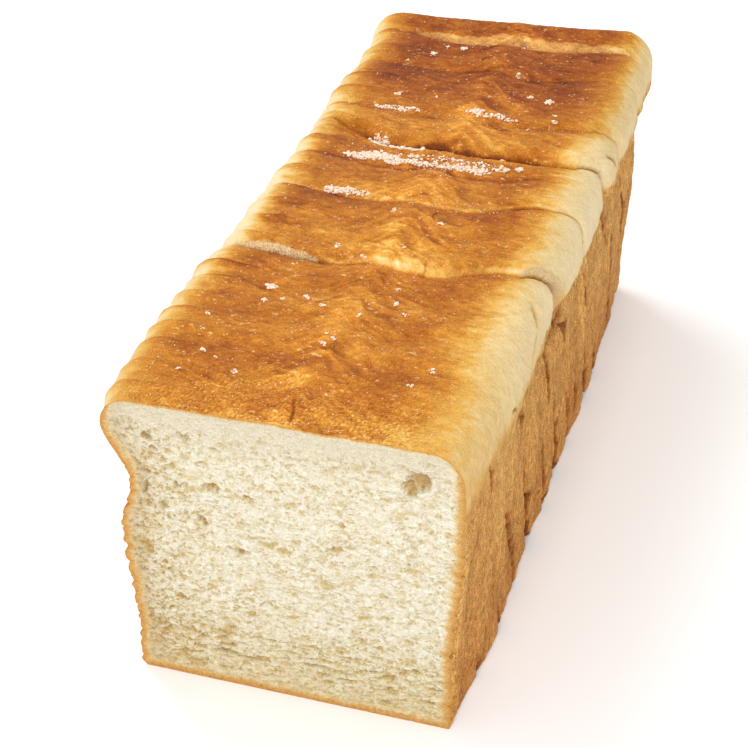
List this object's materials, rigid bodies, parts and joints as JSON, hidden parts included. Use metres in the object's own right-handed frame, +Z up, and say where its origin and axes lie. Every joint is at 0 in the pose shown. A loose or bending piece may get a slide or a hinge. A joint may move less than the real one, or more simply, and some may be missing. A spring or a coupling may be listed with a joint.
{
  "type": "tin loaf",
  "caption": "Long square tin loaf of white bread with one heel sliced off: creased cap over straight walls, cream crumb at the cut, salt flakes on top.",
  "frame": {"origin": "middle of the loaf's box, on the surface that it stands on", "axes": "+X to the right as seen from the cut face, +Y along the loaf away from the cut face, +Z up"},
  "size_m": [0.1368, 0.3352, 0.127],
  "materials": {
    "crust": "baked crust, satin, golden brown with pale shoulders",
    "crumb": "soft white crumb, matte, finely pored",
    "salt": "coarse white salt flakes, slightly translucent"
  },
  "bodies": {
    "root": {"loaf": "crust"}
  },
  "joints": []
}
